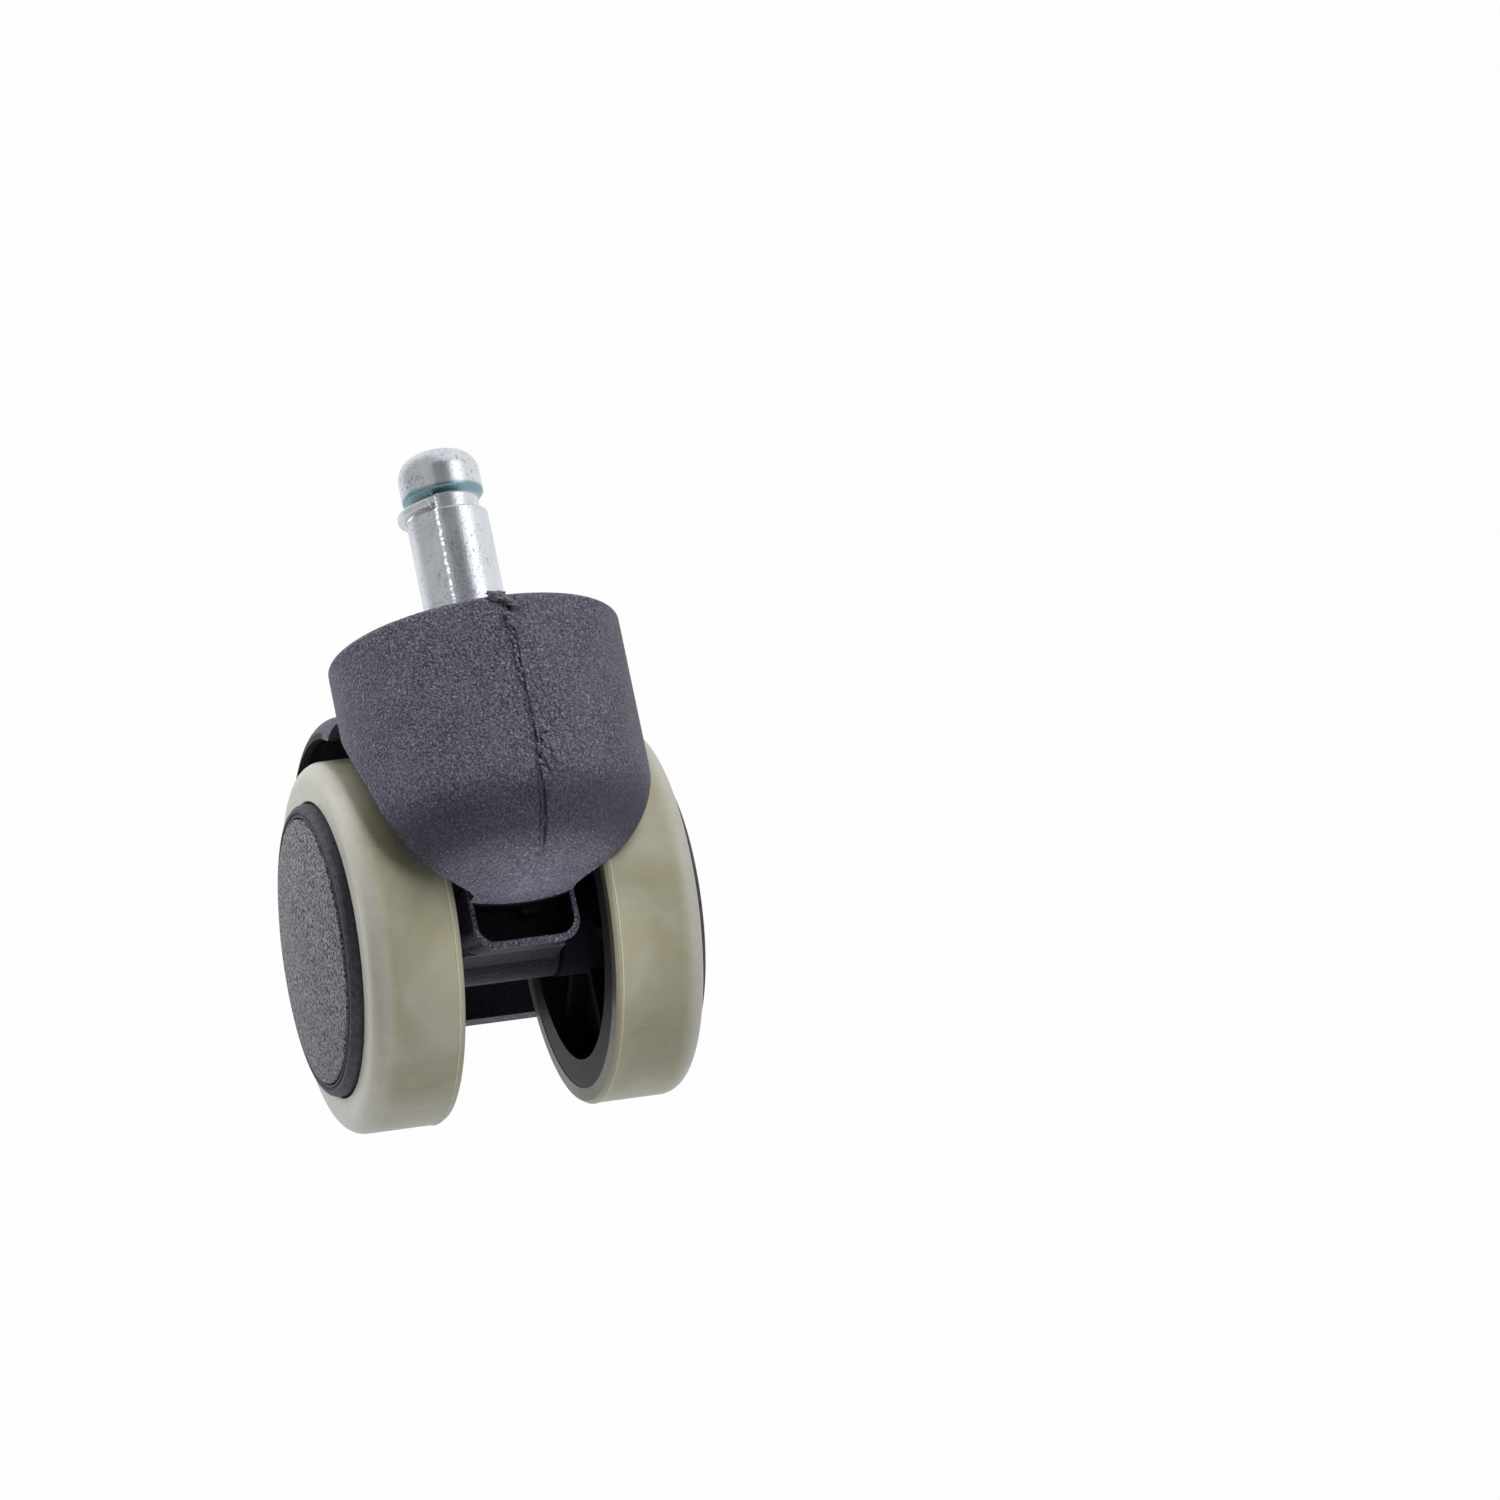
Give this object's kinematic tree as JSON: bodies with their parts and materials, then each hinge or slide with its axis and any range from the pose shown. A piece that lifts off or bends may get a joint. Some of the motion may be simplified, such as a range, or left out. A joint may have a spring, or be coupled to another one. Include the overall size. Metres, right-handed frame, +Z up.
{
  "type": "twin-wheel furniture caster",
  "caption": "Hooded swivel caster wheel for a chair, with a plain grip-ring stem and soft-tread wheels turning freely on a fixed axle.",
  "frame": {"origin": "on the swivel axis, at the top face of the stem collar, which seats against the end of the chair's socket", "axes": "+Z up the stem into the socket, -X towards the trailing wheels, Y along the axle"},
  "size_m": [0.0709, 0.0518, 0.0856],
  "materials": {
    "nylon_housing": "pebbled moulded nylon",
    "zinc_steel": "bright zinc plate",
    "spring_steel": "bright spring steel",
    "tread_pu": "soft satin polyurethane",
    "rim_plastic": "satin moulded plastic",
    "cap_plastic": "fine grained moulded plastic",
    "bearing_plastic": "smooth acetal"
  },
  "bodies": {
    "stem": {"stem": "zinc_steel", "grip_ring": "spring_steel", "stem_clip": "spring_steel"},
    "swivel_body": {"housing": "nylon_housing", "swivel_sleeve": "bearing_plastic", "thrust_washer": "zinc_steel", "axle": "zinc_steel", "left_washer": "bearing_plastic", "right_washer": "bearing_plastic", "left_axle_clip": "spring_steel", "right_axle_clip": "spring_steel"},
    "left_wheel": {"left_rim": "rim_plastic", "left_tread": "tread_pu", "left_cap": "cap_plastic", "left_cap_ring": "rim_plastic", "left_bushing": "bearing_plastic"},
    "right_wheel": {"right_rim": "rim_plastic", "right_tread": "tread_pu", "right_cap": "cap_plastic", "right_cap_ring": "rim_plastic", "right_bushing": "bearing_plastic"}
  },
  "joints": [
    {"name": "swivel", "type": "hinge", "parent": "stem", "child": "swivel_body", "pos_m": [0, 0, 0], "axis": [0, 0, 1], "continuous": true},
    {"name": "left_wheel_spin", "type": "hinge", "parent": "swivel_body", "child": "left_wheel", "pos_m": [-0.0206, 0, -0.03705], "axis": [0, 1, 0], "continuous": true},
    {"name": "right_wheel_spin", "type": "hinge", "parent": "swivel_body", "child": "right_wheel", "pos_m": [-0.0206, 0, -0.03705], "axis": [0, 1, 0], "continuous": true}
  ]
}
